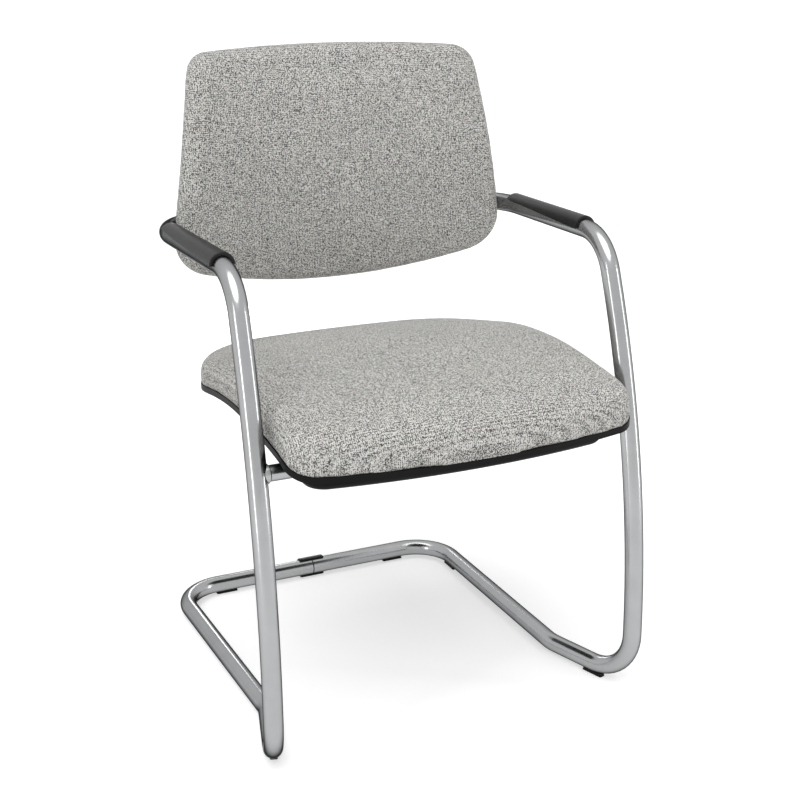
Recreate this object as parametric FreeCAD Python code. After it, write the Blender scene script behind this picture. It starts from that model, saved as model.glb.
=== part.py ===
import FreeCAD, Part
import math
import os

from FreeCAD import Vector

# Sled base visitor chair, in millimetres.
# +Z is up, the sitter faces -Y and +X is on the right when the chair is seen from the front.
# Depths are first laid out from the middle of the floor frame; every finished piece is then
# moved by SHIFT_Y, so that the origin lies on the floor under the middle of the whole chair.

# Frame tube
TUBE_D = 25.0
TUBE_WALL = 2.5
FLOOR_Z = 15.5               # centre line of the floor run
REAR_Y = 264.4               # centre line of the rear floor bar
REAR_CORNER_X = 223.9
KINK_X = 218.3
KINK_Y = -124.9              # here the floor runs turn outward
UPRIGHT_X = 259.6
UPRIGHT_Y = -264.3
UPRIGHT_RADIUS = 1490.0      # each upright is one long arc
UPRIGHT_TANGENT_Z = 68.0     # height at which that arc is vertical
UPRIGHT_INWARD = 0.055       # inward lean for each unit of backward lean
UPRIGHT_START_Z = 90.0
UPRIGHT_END_Z = 568.0
ARM_Z = 616.0
ARM_REAR_X = 257.8
ARM_REAR_Y = 80.0
CROSSBAR_Y = 176.0           # centre line of the crossbar at x = 0
CROSSBAR_RADIUS = 1080.0     # it bows with the backrest
REAR_BEND = 64.0
KINK_BEND = 60.0
FRONT_BEND = 66.0
ARM_BEND = 66.0
CROSSBAR_BEND = 85.0
JOINT_GAP = 1.5

# Joint clips and spigots
SPIGOT_LENGTH = 80.0
CLIP_LENGTH = 40.0
CLIP_WALL = 3.0
CLIP_FRONT = 4.0             # how far the clip reaches forward of the tube's centre
CLIP_FOOT_WIDTH = 15.0

# Glides
GLIDE_LENGTH = 34.0
GLIDE_WIDTH = 10.0
GLIDE_HEIGHT = 9.0
GLIDE_SLANT = 3.0
PEG_D = 6.0
PEG_LENGTH = 7.0
REAR_GLIDE_X = 144.0
SIDE_GLIDE_Y = 198.0
FRONT_GLIDE_Y = -204.0
GLIDE_INSET = 1.5            # the side and front glides stand this far inside the tube's centre line

# Armrest pads
PAD_WALL = 4.1
PAD_RIGHT_Y = (-112.0, 84.0)  # front and rear ends; the left pad sits further forward
PAD_LEFT_Y = (-124.0, 80.0)
PAD_EDGE_FRONT_Z = 616.0     # lower edge of the flanges
PAD_EDGE_REAR_Z = 626.0
PAD_FRONT_ROUNDING = 1.8
PAD_REAR_ROUNDING = 3.2
PAD_PEG_Y = (-80.0, 45.0)

# Seat outline, seen from above
SEAT_FRONT_Y = -303.5
SEAT_FRONT_CURVE = 18.0      # the front edge falls back this much at the corners
SEAT_REAR_Y = 164.0
SEAT_REAR_CURVE = 1.0
SEAT_HALF_FRONT = 234.4
SEAT_HALF_REAR = 234.4
SEAT_FRONT_CORNER = 33.0
SEAT_REAR_CORNER = 130.0

# Seat heights: the lower edge of the shell's rim follows these depths and heights
RIM_PROFILE = (
    (-340.0, 368.5),
    (-300.0, 385.9),
    (-260.0, 401.0),
    (-200.0, 411.3),
    (-120.0, 419.9),
    (-20.0, 417.9),
    (80.0, 404.4),
    (160.0, 398.9),
    (210.0, 397.0),
)
RIM_HEIGHT = 7.7
SHELL_WALL = 3.0
PAN_INSET = 20.0
PAN_DEPTH = 13.0
PAN_EDGE_RADIUS = 5.0
PAN_LEAST_AREA = 40000.0     # the pan's floor and top are the only faces above this area
BOARD_INSET = 4.0
BOARD_THICK = 10.0
CUSHION_SIDE = 49.9          # rim's lower edge to the top edge of the cushion at the front
CUSHION_FALL = 5.5           # the cushion is this much thinner at the rear
CUSHION_CORNER_FALL = 6.0    # and its rear corners are lower again
CUSHION_CROWN = 14.0
CUSHION_INSET = 0.9
CUSHION_EDGE_RADIUS = 22.0

# Seat support under the shell
CROSS_TUBE_D = 20.0
CROSS_TUBE_WALL = 2.0
CROSS_TUBE_Y = -228.0
CROSS_TUBE_Z = 388.5
WELD_SIZE = 3.0
CHANNEL_GAP = 0.3
RAIL_X = 120.0
RAIL_WIDTH = 25.0
RAIL_HEIGHT = 12.0
RAIL_WALL = 2.0
RAIL_TOP_Z = 387.5
RAIL_END_Y = 92.0
MEMBER_HALF_LENGTH = 150.0
BOLT_Y = (-150.0, 60.0)
BOLT_D = 6.0
BOLT_HEAD_D = 11.0
BOLT_HEAD_H = 3.3
BOSS_D = 16.0
TNUT_D = 8.0
TNUT_FLANGE_D = 18.0
TNUT_FLANGE_H = 1.2
SHELL_SCREW_INSET = 12.0
COVER_FRONT_Y = -281.0       # the front cover hides the cross tube
COVER_FRONT_CURVE = 18.8
COVER_REAR_Y = -180.0
COVER_HALF_WIDTH = 205.0
COVER_CORNER = 29.0
COVER_BOTTOM_Z = 368.7
COVER_WALL = 2.5
COVER_EDGE_RADIUS = 9.5

# Backrest: its middle surface bows across the width and leans back towards the top
BACK_Z = 684.2
BACK_Y = 135.94
BACK_SLOPE = 2.08            # depth for each 100 mm of height above BACK_Z
BACK_CURL = 7.14
BACK_BOW = 4.63              # depth lost for each (100 mm)^2 across
BACK_THICK = 45.0
BACK_HALF_WIDTH = 230.36
BACK_TAPER = 14.89
BACK_TAPER_CURVE = 0.96
BACK_TOP_Z = 846.92
BACK_TOP_CURVE = 1.84
BACK_BOTTOM_Z = 521.43
BACK_BOTTOM_CURVE = 6.51
BACK_TOP_CORNER = 30.0
BACK_BOTTOM_CORNER = 54.0
BACK_EDGE_RADIUS = 15.0
BACK_REAR_EDGE_RADIUS = 15.0
BACK_SHELL_INSET = 18.0
BACK_SHELL_THICK = 3.5
BACK_SHELL_PROUD = 0.5
BACK_SHELL_EDGE_RADIUS = 1.5
BACK_BOARD_INSET = 21.0
BACK_BOARD_THICK = 10.0
CLAMP_X = 110.0
CLAMP_LENGTH = 44.0
CLAMP_HEIGHT = 62.0
CLAMP_WALL = 4.0
CLAMP_SPLIT = 1.0            # the caps meet the saddles this far behind the tube's centre
CLAMP_CAP_FLANGE = 7.0
CLAMP_SCREW_OFFSET = 22.0    # above and below the tube's centre
BACK_SCREW_D = 4.0
BACK_SCREW_HEAD_D = 7.5

# Extremes that set the origin
REARMOST_Y = REAR_Y + TUBE_D / 2 + CLIP_WALL
SHIFT_Y = -(SEAT_FRONT_Y + REARMOST_Y) / 2

os.makedirs("parts", exist_ok=True)
X_AXIS = Vector(1, 0, 0)
Z_AXIS = Vector(0, 0, 1)


# General helpers
def export(name, shape):
    moved = shape.copy()
    moved.translate(Vector(0, SHIFT_Y, 0))
    moved.exportStep("parts/" + name + ".step")
    print(name, len(moved.Solids), round(moved.Volume / 1000.0, 2), "cm3", moved.isValid())


def mirrored(shape):
    return shape.mirror(Vector(0, 0, 0), X_AXIS)


def unit(vector):
    return Vector(vector).normalize()


def cylinder(radius, start, end):
    axis = end - start
    return Part.makeCylinder(radius, axis.Length, start, axis)


def join(shapes):
    body = shapes[0]
    for other in shapes[1:]:
        body = body.fuse(other)
    return body.removeSplitter()


def line(start, end):
    return Part.LineSegment(start, end).toShape()


def bend(before, corner, after, radius):
    """The arc that rounds a corner, with its two tangent points."""
    to_before = unit(before - corner)
    to_after = unit(after - corner)
    half = to_before.getAngle(to_after) / 2
    reach = radius / math.tan(half)
    start = corner + to_before * reach
    end = corner + to_after * reach
    inward = unit(to_before + to_after)
    middle = corner + inward * (radius / math.sin(half) - radius)
    return start, Part.Arc(start, middle, end).toShape(), end


def pipe(edges, radius):
    path = Part.Wire(edges)
    start = path.Edges[0].firstVertex().Point
    tangent = path.Edges[0].tangentAt(path.Edges[0].FirstParameter)
    section = Part.Wire(Part.Circle(start, tangent, radius).toShape())
    return path.makePipeShell([section], True, False)


# Frame path
def upright_point(depth, height):
    """A point of the upright's leaning plane, at a depth measured in that plane."""
    length = math.sqrt(1 + UPRIGHT_INWARD ** 2)
    x = UPRIGHT_X - UPRIGHT_INWARD * depth / length
    return Vector(x, UPRIGHT_Y + depth / length, height)


def upright_depth(height):
    rise = height - UPRIGHT_TANGENT_Z
    return UPRIGHT_RADIUS - math.sqrt(UPRIGHT_RADIUS ** 2 - rise ** 2)


def upright_at(height):
    return upright_point(upright_depth(height), height)


def upright_tangent_to(height, target):
    """Where the tangent line at one height meets another height."""
    rise = height - UPRIGHT_TANGENT_Z
    slope = rise / math.sqrt(UPRIGHT_RADIUS ** 2 - rise ** 2)
    return upright_point(upright_depth(height) + slope * (target - height), target)


def crossbar_arc(start_x, end_x):
    """The bowed crossbar between two places across the chair."""
    def at(x):
        drop = CROSSBAR_RADIUS - math.sqrt(CROSSBAR_RADIUS ** 2 - x ** 2)
        return Vector(x, CROSSBAR_Y - drop, ARM_Z)
    return Part.Arc(at(start_x), at((start_x + end_x) / 2), at(end_x)).toShape()


def frame_edges():
    """The right-hand half of the frame: floor joint, floor run, upright, arm and crossbar."""
    joint = Vector(JOINT_GAP / 2, REAR_Y, FLOOR_Z)
    rear = Vector(REAR_CORNER_X, REAR_Y, FLOOR_Z)
    kink = Vector(KINK_X, KINK_Y, FLOOR_Z)
    front = upright_tangent_to(UPRIGHT_START_Z, FLOOR_Z)
    low = upright_at(UPRIGHT_START_Z)
    high = upright_at(UPRIGHT_END_Z)
    arm_front = upright_tangent_to(UPRIGHT_END_Z, ARM_Z)
    arm_rear = Vector(ARM_REAR_X, ARM_REAR_Y, ARM_Z)
    rear_start, rear_arc, rear_end = bend(joint, rear, kink, REAR_BEND)
    kink_start, kink_arc, kink_end = bend(rear, kink, front, KINK_BEND)
    front_start, front_arc, front_end = bend(kink, front, low, FRONT_BEND)
    arm_start, arm_arc, arm_end = bend(high, arm_front, arm_rear, ARM_BEND)
    along = unit(arm_rear - arm_front)
    inward = Vector(-along.y, along.x, 0)
    bar_centre = Vector(0, CROSSBAR_Y - CROSSBAR_RADIUS, ARM_Z)
    base = arm_front + inward * CROSSBAR_BEND - bar_centre
    reach = CROSSBAR_RADIUS - CROSSBAR_BEND
    step = -base.dot(along) + math.sqrt(base.dot(along) ** 2 - base.dot(base) + reach ** 2)
    bend_centre = arm_front + inward * CROSSBAR_BEND + along * step
    bend_start = arm_front + along * step
    outward = unit(bend_centre - bar_centre)
    bend_end = bar_centre + outward * CROSSBAR_RADIUS
    bend_middle = bend_centre + unit(outward - inward) * CROSSBAR_BEND
    middle_z = (UPRIGHT_START_Z + UPRIGHT_END_Z) / 2
    return [
        line(joint, rear_start),
        rear_arc,
        line(rear_end, kink_start),
        kink_arc,
        line(kink_end, front_start),
        front_arc,
        line(front_end, low),
        Part.Arc(low, upright_at(middle_z), high).toShape(),
        line(high, arm_start),
        arm_arc,
        line(arm_end, bend_start),
        Part.Arc(bend_start, bend_middle, bend_end).toShape(),
        crossbar_arc(bend_end.x, JOINT_GAP / 2),
    ]


def arm_point(y):
    """The arm tube's centre line at a depth."""
    front = upright_tangent_to(UPRIGHT_END_Z, ARM_Z)
    share = (y - front.y) / (ARM_REAR_Y - front.y)
    return Vector(front.x + share * (ARM_REAR_X - front.x), y, ARM_Z)


def run_point(y):
    """The floor run's centre line at a depth, behind the kink or in front of it."""
    if y > KINK_Y:
        share = (REAR_Y - y) / (REAR_Y - KINK_Y)
        return Vector(REAR_CORNER_X + share * (KINK_X - REAR_CORNER_X), y, FLOOR_Z)
    front = upright_tangent_to(UPRIGHT_START_Z, FLOOR_Z)
    share = (KINK_Y - y) / (KINK_Y - front.y)
    return Vector(KINK_X + share * (front.x - KINK_X), y, FLOOR_Z)


# Glides and pads are pushed into the tube with pegs
def glide(centre, direction, inset):
    """A foot below the tube, with the peg that holds it; it may stand a little to the inside."""
    half = GLIDE_LENGTH / 2
    top = half - GLIDE_SLANT
    side = Part.makePolygon([
        Vector(-half, 0, 0),
        Vector(half, 0, 0),
        Vector(top, 0, GLIDE_HEIGHT),
        Vector(-top, 0, GLIDE_HEIGHT),
        Vector(-half, 0, 0),
    ])
    block = Part.Face(side).extrude(Vector(0, GLIDE_WIDTH, 0))
    block.translate(Vector(0, inset - GLIDE_WIDTH / 2, 0))
    ends = [e for e in block.Edges if abs(e.BoundBox.ZLength) > GLIDE_HEIGHT / 2]
    block = block.makeFillet(2.0, ends)
    tube = cylinder(TUBE_D / 2, Vector(-half, 0, FLOOR_Z), Vector(half, 0, FLOOR_Z))
    foot = block.cut(tube)
    angle = math.degrees(math.atan2(direction.y, direction.x))
    foot.rotate(Vector(0, 0, 0), Z_AXIS, angle)
    foot.translate(Vector(centre.x, centre.y, 0))
    return foot.fuse(glide_peg(centre)).removeSplitter()


def glide_peg(centre):
    """The pin of a glide, which is pressed into a hole in the tube."""
    top = FLOOR_Z - TUBE_D / 2 + PEG_LENGTH
    return cylinder(PEG_D / 2, Vector(centre.x, centre.y, 1.0), Vector(centre.x, centre.y, top))


def armrest_pad(front_y, rear_y):
    """A saddle pad on the right-hand arm; its flanges cover more of the tube towards the front."""
    front = arm_point(front_y)
    rear = arm_point(rear_y)
    outer = cylinder(TUBE_D / 2 + PAD_WALL, front, rear)
    circles = [e for e in outer.Edges if e.Curve.TypeId == "Part::GeomCircle"]
    outer = outer.makeFillet(PAD_FRONT_ROUNDING, [min(circles, key=lambda e: e.CenterOfMass.y)])
    circles = [e for e in outer.Edges if e.Curve.TypeId == "Part::GeomCircle"]
    outer = outer.makeFillet(PAD_REAR_ROUNDING, [max(circles, key=lambda e: e.CenterOfMass.y)])
    inner = cylinder(TUBE_D / 2, front - Vector(0, 5, 0), rear + Vector(0, 5, 0))
    low = ARM_Z - TUBE_D
    side = Part.makePolygon([
        Vector(0, front_y - 10, low),
        Vector(0, rear_y + 10, low),
        Vector(0, rear_y + 10, PAD_EDGE_REAR_Z),
        Vector(0, front_y - 10, PAD_EDGE_FRONT_Z),
        Vector(0, front_y - 10, low),
    ])
    below = Part.Face(side).extrude(Vector(2 * UPRIGHT_X, 0, 0))
    pieces = [outer.cut(inner).cut(below)]
    for y in PAD_PEG_Y:
        place = arm_point(y)
        pieces.append(cylinder(
            PEG_D / 2,
            place + Vector(0, 0, TUBE_D / 2 - PEG_LENGTH),
            place + Vector(0, 0, TUBE_D / 2 + PAD_WALL / 2),
        ))
    return join(pieces)


frame = frame_edges()
outer_tube = pipe(frame, TUBE_D / 2)
bore = pipe(frame, TUBE_D / 2 - TUBE_WALL)
frame_right = outer_tube.cut(bore)
path_length = sum(edge.Length for edge in frame)
section_area = math.pi * ((TUBE_D / 2) ** 2 - (TUBE_D / 2 - TUBE_WALL) ** 2)
print("tube volume over section times length", frame_right.Volume / (section_area * path_length))

side_run = unit(run_point(SIDE_GLIDE_Y - 10) - run_point(SIDE_GLIDE_Y))
front_run = unit(run_point(FRONT_GLIDE_Y - 10) - run_point(FRONT_GLIDE_Y))
glide_places = {
    "rear_glide": (Vector(REAR_GLIDE_X, REAR_Y, 0), X_AXIS, 0.0),
    "side_glide": (run_point(SIDE_GLIDE_Y), side_run, -GLIDE_INSET),
    "front_glide": (run_point(FRONT_GLIDE_Y), front_run, -GLIDE_INSET),
}


# Seat support tube, welded between the uprights
def cross_tube_end():
    """Where the cross tube's axis meets the upright."""
    return upright_at(CROSS_TUBE_Z).x


def cross_tube():
    reach = cross_tube_end()
    start = Vector(-reach, CROSS_TUBE_Y, CROSS_TUBE_Z)
    end = Vector(reach, CROSS_TUBE_Y, CROSS_TUBE_Z)
    outer = cylinder(CROSS_TUBE_D / 2, start, end)
    inner = cylinder(CROSS_TUBE_D / 2 - CROSS_TUBE_WALL, start, end)
    tube = outer.cut(inner)
    tube = tube.cut(outer_tube).cut(mirrored(outer_tube))
    return max(tube.Solids, key=lambda s: s.Volume)


def weld_ring():
    """The bead round the right-hand end of the cross tube."""
    reach = cross_tube_end()
    start = Vector(reach - TUBE_D / 2 - WELD_SIZE, CROSS_TUBE_Y, CROSS_TUBE_Z)
    end = Vector(reach, CROSS_TUBE_Y, CROSS_TUBE_Z)
    bead = cylinder(CROSS_TUBE_D / 2 + WELD_SIZE * 0.6, start, end)
    rim = [e for e in bead.Edges if abs(e.CenterOfMass.x - start.x) < 0.01]
    bead = bead.makeChamfer(WELD_SIZE * 0.5, rim)
    bead = bead.cut(cylinder(CROSS_TUBE_D / 2, start, end)).cut(outer_tube)
    return max(bead.Solids, key=lambda s: s.Volume)


def box_tube(corner, size, axis, wall):
    """A rectangular tube, open along one axis."""
    outer = Part.makeBox(size.x, size.y, size.z, corner)
    shrink = Vector(wall, wall, wall)
    if axis == "x":
        shrink.x = 0
    else:
        shrink.y = 0
    inner_size = size - shrink * 2
    inner = Part.makeBox(inner_size.x, inner_size.y, inner_size.z, corner + shrink)
    return outer.cut(inner)


def seat_rail(x):
    corner = Vector(x - RAIL_WIDTH / 2, CROSS_TUBE_Y, RAIL_TOP_Z - RAIL_HEIGHT)
    size = Vector(RAIL_WIDTH, RAIL_END_Y - CROSS_TUBE_Y, RAIL_HEIGHT)
    rail = box_tube(corner, size, "y", RAIL_WALL)
    tube = cylinder(
        CROSS_TUBE_D / 2,
        Vector(x - RAIL_WIDTH, CROSS_TUBE_Y, CROSS_TUBE_Z),
        Vector(x + RAIL_WIDTH, CROSS_TUBE_Y, CROSS_TUBE_Z),
    )
    rail = rail.cut(tube)
    for y in BOLT_Y:
        hole = cylinder(BOLT_D / 2 + 0.2, Vector(x, y, 0), Vector(x, y, RAIL_TOP_Z + 1))
        rail = rail.cut(hole)
    return max(rail.Solids, key=lambda s: s.Volume)


def rear_member():
    corner = Vector(-MEMBER_HALF_LENGTH, RAIL_END_Y, RAIL_TOP_Z - RAIL_HEIGHT)
    size = Vector(2 * MEMBER_HALF_LENGTH, RAIL_WIDTH, RAIL_HEIGHT)
    return box_tube(corner, size, "x", RAIL_WALL)


def member_plug(side):
    """The plastic end cap of the rear cross member."""
    start = side * MEMBER_HALF_LENGTH
    cap = Part.makeBox(2.0, RAIL_WIDTH, RAIL_HEIGHT)
    cap = cap.makeFillet(0.9, [e for e in cap.Edges if e.BoundBox.XMax > 1.9 and e.BoundBox.XLength < 0.1])
    depth = 10.0
    gap = 0.05
    plug = Part.makeBox(
        depth,
        RAIL_WIDTH - 2 * RAIL_WALL - 2 * gap,
        RAIL_HEIGHT - 2 * RAIL_WALL - 2 * gap,
        Vector(-depth, RAIL_WALL + gap, RAIL_WALL + gap),
    )
    piece = cap.fuse(plug)
    if side < 0:
        piece = mirrored(piece)
    piece.translate(Vector(start, RAIL_END_Y, RAIL_TOP_Z - RAIL_HEIGHT))
    return piece


cross = cross_tube()
weld_right = weld_ring()
rails = {"seat_rail_right": seat_rail(RAIL_X), "seat_rail_left": seat_rail(-RAIL_X)}


# Seat surfaces
def rim_curve():
    curve = Part.BSplineCurve()
    curve.interpolate([Vector(0, y, z) for y, z in RIM_PROFILE])
    return curve


RIM = rim_curve()


def rim_height(y):
    """The height of the rim's lower edge at a depth."""
    ray = Part.LineSegment(Vector(0, y, 300), Vector(0, y, 500))
    return RIM.intersect(ray)[0].Z


def seat_slab(low, high):
    """The layer between two heights above the rim's lower edge, across the whole seat."""
    below = RIM.toShape()
    below.translate(Vector(-300, 0, low))
    above = RIM.toShape()
    above.translate(Vector(-300, 0, high))
    first = [below.firstVertex().Point, above.firstVertex().Point]
    last = [below.lastVertex().Point, above.lastVertex().Point]
    wire = Part.Wire([below, line(last[0], last[1]), above, line(first[1], first[0])])
    return Part.Face(wire).extrude(Vector(600, 0, 0))


def seat_outline():
    """The plan of the seat as a face on the floor."""
    front = SEAT_FRONT_Y + SEAT_FRONT_CURVE
    rear = SEAT_REAR_Y - SEAT_REAR_CURVE
    a = Vector(-SEAT_HALF_FRONT, front, 0)
    b = Vector(SEAT_HALF_FRONT, front, 0)
    c = Vector(SEAT_HALF_REAR, rear, 0)
    d = Vector(-SEAT_HALF_REAR, rear, 0)
    wire = Part.Wire([
        Part.Arc(a, Vector(0, SEAT_FRONT_Y, 0), b).toShape(),
        line(b, c),
        Part.Arc(c, Vector(0, SEAT_REAR_Y, 0), d).toShape(),
        line(d, a),
    ])
    block = Part.Face(wire).extrude(Vector(0, 0, 10))
    upright = [e for e in block.Edges if e.BoundBox.ZLength > 9]
    front_edges = [e for e in upright if e.BoundBox.YMax < 0]
    rear_edges = [e for e in upright if e.BoundBox.YMin > 0]
    block = block.makeFillet(SEAT_FRONT_CORNER, front_edges)
    rear_edges = [
        e for e in block.Edges
        if e.BoundBox.ZLength > 9 and e.BoundBox.YMin > rear - 1 and abs(abs(e.BoundBox.XMin) - SEAT_HALF_REAR) < 1
    ]
    block = block.makeFillet(SEAT_REAR_CORNER, rear_edges)
    return [f for f in block.Faces if f.BoundBox.ZMax < 0.01][0]


OUTLINE = seat_outline()


def seat_prism(inset, bottom=340.0, top=520.0):
    face = OUTLINE
    if inset > 0:
        face = Part.Face(OUTLINE.OuterWire.makeOffset2D(-inset))
    face = face.copy()
    face.translate(Vector(0, 0, bottom))
    return face.extrude(Vector(0, 0, top - bottom))


def seat_layer(inset, low, high):
    return seat_prism(inset).common(seat_slab(low, high))


def bolt_places():
    return [(x, y) for x in (-RAIL_X, RAIL_X) for y in BOLT_Y]


def shell_screw_places():
    """Places on the flange of the seat shell, between its rim and the pan."""
    side_front = SEAT_HALF_FRONT - SHELL_SCREW_INSET
    side_rear = SEAT_HALF_REAR - SHELL_SCREW_INSET
    front = SEAT_FRONT_Y + SHELL_SCREW_INSET + 1.0
    rear = SEAT_REAR_Y - SHELL_SCREW_INSET - 1.0
    return [
        (-130.0, front + 1.5), (130.0, front + 1.5),
        (-side_front, -170.0), (side_front, -170.0),
        (-side_rear, -10.0), (side_rear, -10.0),
        (-70.0, rear - 1.5), (70.0, rear - 1.5),
    ]


def seat_shell():
    flange = seat_layer(0.0, 0.0, RIM_HEIGHT)
    lip_room = seat_layer(SHELL_WALL, SHELL_WALL, RIM_HEIGHT + 5)
    pan = seat_layer(PAN_INSET, -PAN_DEPTH, 1.0)
    broad = [f for f in pan.Faces if f.Area > PAN_LEAST_AREA]
    low_face = min(broad, key=lambda f: f.CenterOfMass.z)
    pan = pan.makeFillet(PAN_EDGE_RADIUS, low_face.OuterWire.Edges)
    pan_room = seat_layer(PAN_INSET + SHELL_WALL, -PAN_DEPTH + SHELL_WALL, SHELL_WALL + 1)
    tray = flange.fuse(pan).cut(lip_room).cut(pan_room)
    reach = SEAT_HALF_FRONT - PAN_INSET
    left = Vector(-reach - 10, CROSS_TUBE_Y, CROSS_TUBE_Z)
    right = Vector(reach + 10, CROSS_TUBE_Y, CROSS_TUBE_Z)
    radius = CROSS_TUBE_D / 2 + CHANNEL_GAP
    wall = cylinder(radius + SHELL_WALL, left, right)
    wall = wall.common(seat_prism(PAN_INSET)).cut(seat_slab(-60, -PAN_DEPTH + 1.0))
    groove = cylinder(radius, left - Vector(40, 0, 0), right + Vector(40, 0, 0))
    slot = Part.makeBox(
        2 * reach + 80, 2 * radius, 40,
        Vector(-reach - 40, CROSS_TUBE_Y - radius, CROSS_TUBE_Z - 40),
    )
    bosses = []
    for x, y in bolt_places():
        column = cylinder(BOSS_D / 2, Vector(x, y, 350), Vector(x, y, 450))
        bosses.append(column.common(seat_slab(-PAN_DEPTH + 1.0, SHELL_WALL)))
    tray = join([tray, wall] + bosses).cut(groove).cut(slot)
    for x, y in bolt_places():
        tray = tray.cut(cylinder(BOLT_D / 2 + 0.2, Vector(x, y, 350), Vector(x, y, 450)))
    for x, y in shell_screw_places():
        tray = tray.cut(cylinder(1.8, Vector(x, y, 350), Vector(x, y, 450)))
    return max(tray.Solids, key=lambda s: s.Volume)


def cover_outline():
    """The plan of the front cover as a face on the floor."""
    corner_y = COVER_FRONT_Y + COVER_FRONT_CURVE
    left = Vector(-COVER_HALF_WIDTH, corner_y, 0)
    right = Vector(COVER_HALF_WIDTH, corner_y, 0)
    right_rear = Vector(COVER_HALF_WIDTH, COVER_REAR_Y, 0)
    left_rear = Vector(-COVER_HALF_WIDTH, COVER_REAR_Y, 0)
    wire = Part.Wire([
        Part.Arc(left, Vector(0, COVER_FRONT_Y, 0), right).toShape(),
        line(right, right_rear),
        line(right_rear, left_rear),
        line(left_rear, left),
    ])
    block = Part.Face(wire).extrude(Vector(0, 0, 10))
    corners = [e for e in block.Edges if e.BoundBox.ZLength > 9 and e.BoundBox.YMax < corner_y + 1]
    block = block.makeFillet(COVER_CORNER, corners)
    return [f for f in block.Faces if f.BoundBox.ZMax < 0.01][0]


def cover_block(inset, radius):
    """The cover as a full block below the shell, with a rounded lower edge."""
    face = cover_outline()
    if inset > 0:
        face = Part.Face(face.OuterWire.makeOffset2D(-inset))
    bottom = COVER_BOTTOM_Z + inset
    face.translate(Vector(0, 0, bottom))
    block = face.extrude(Vector(0, 0, 80))
    lower = [e for e in block.Edges if e.BoundBox.ZMax < bottom + 0.01 and e.BoundBox.YMin < COVER_REAR_Y - inset - 1]
    block = block.makeFillet(radius, lower)
    return block.common(seat_slab(-80, -PAN_DEPTH))


def front_cover():
    """The moulded cover that closes the shell below the cross tube."""
    outer = cover_block(0.0, COVER_EDGE_RADIUS)
    cover = outer.cut(cover_block(COVER_WALL, COVER_EDGE_RADIUS - COVER_WALL))
    axis = Vector(400, CROSS_TUBE_Y, CROSS_TUBE_Z)
    cover = cover.cut(cylinder(CROSS_TUBE_D / 2 + CHANNEL_GAP, Vector(-400, axis.y, axis.z), axis))
    width = 2 * (CROSS_TUBE_D / 2 + CHANNEL_GAP)
    cover = cover.cut(Part.makeBox(800, width, 30, Vector(-400, axis.y - width / 2, axis.z)))
    for x in (-RAIL_X, RAIL_X):
        notch = Part.makeBox(
            RAIL_WIDTH + 2 * CHANNEL_GAP, 60, 40,
            Vector(x - RAIL_WIDTH / 2 - CHANNEL_GAP, CROSS_TUBE_Y, RAIL_TOP_Z - RAIL_HEIGHT - CHANNEL_GAP),
        )
        cover = cover.cut(notch)
    return max(cover.Solids, key=lambda s: s.Volume)


def seat_board():
    board = seat_layer(BOARD_INSET, SHELL_WALL, SHELL_WALL + BOARD_THICK)
    for x, y in bolt_places():
        top = rim_height(y) + SHELL_WALL + BOARD_THICK
        barrel = cylinder(TNUT_D / 2, Vector(x, y, 350), Vector(x, y, 450))
        seat = cylinder(TNUT_FLANGE_D / 2, Vector(x, y, top - TNUT_FLANGE_H - 0.8), Vector(x, y, 460))
        board = board.cut(barrel).cut(seat)
    return board


def seat_tnut(x, y):
    top = rim_height(y) + SHELL_WALL + BOARD_THICK - 0.8
    flange = cylinder(TNUT_FLANGE_D / 2, Vector(x, y, top - TNUT_FLANGE_H), Vector(x, y, top))
    barrel = cylinder(TNUT_D / 2, Vector(x, y, top - BOARD_THICK + 1.5), Vector(x, y, top))
    hole = cylinder(BOLT_D / 2, Vector(x, y, top - 30), Vector(x, y, top + 5))
    return flange.fuse(barrel).cut(hole)


def hex_socket(x, y, z, across, depth):
    points = [
        Vector(x + across / math.sqrt(3) * math.cos(math.radians(a)),
               y + across / math.sqrt(3) * math.sin(math.radians(a)), z)
        for a in range(0, 361, 60)
    ]
    return Part.Face(Part.makePolygon(points)).extrude(Vector(0, 0, depth))


def seat_bolt(x, y):
    """A button head bolt that comes up through a rail, a spacer and the shell."""
    under = RAIL_TOP_Z - RAIL_HEIGHT
    head = cylinder(BOLT_HEAD_D / 2, Vector(x, y, under - BOLT_HEAD_H), Vector(x, y, under))
    head = head.makeFillet(2.4, [e for e in head.Edges if e.BoundBox.ZMax < under - 1])
    shank = cylinder(BOLT_D / 2, Vector(x, y, under), Vector(x, y, rim_height(y) + 11.0))
    return head.fuse(shank).cut(hex_socket(x, y, under - BOLT_HEAD_H, 4.0, 2.0))


def seat_spacer(x, y):
    column = cylinder(BOSS_D / 2, Vector(x, y, RAIL_TOP_Z), Vector(x, y, 450))
    column = column.common(seat_slab(-60, -PAN_DEPTH))
    column = column.common(Part.makeBox(400, 600, 100, Vector(-200, -300, RAIL_TOP_Z)))
    return column.cut(cylinder(BOLT_D / 2 + 0.2, Vector(x, y, 350), Vector(x, y, 450)))


def shell_screw(x, y):
    """A small pan head screw that holds the shell to the board."""
    low = rim_height(y)
    head = cylinder(3.5, Vector(x, y, low - 2.2), Vector(x, y, low + 0.6))
    head = head.cut(seat_slab(0.0, 20.0))
    head = head.makeFillet(1.0, [e for e in head.Edges if e.BoundBox.ZMax < low - 2.1])
    shank = cylinder(1.7, Vector(x, y, low - 0.5), Vector(x, y, low + 11.0))
    drive = cylinder(1.2, Vector(x, y, low - 2.3), Vector(x, y, low - 1.2))
    return head.fuse(shank).cut(drive)


def surface_block(height_at, x_values, y_values, direction):
    """A block below or behind a surface given by a formula."""
    grid = [[height_at(x, y) for y in y_values] for x in x_values]
    surface = Part.BSplineSurface()
    surface.interpolate(grid)
    return surface.toShape().extrude(direction)


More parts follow.
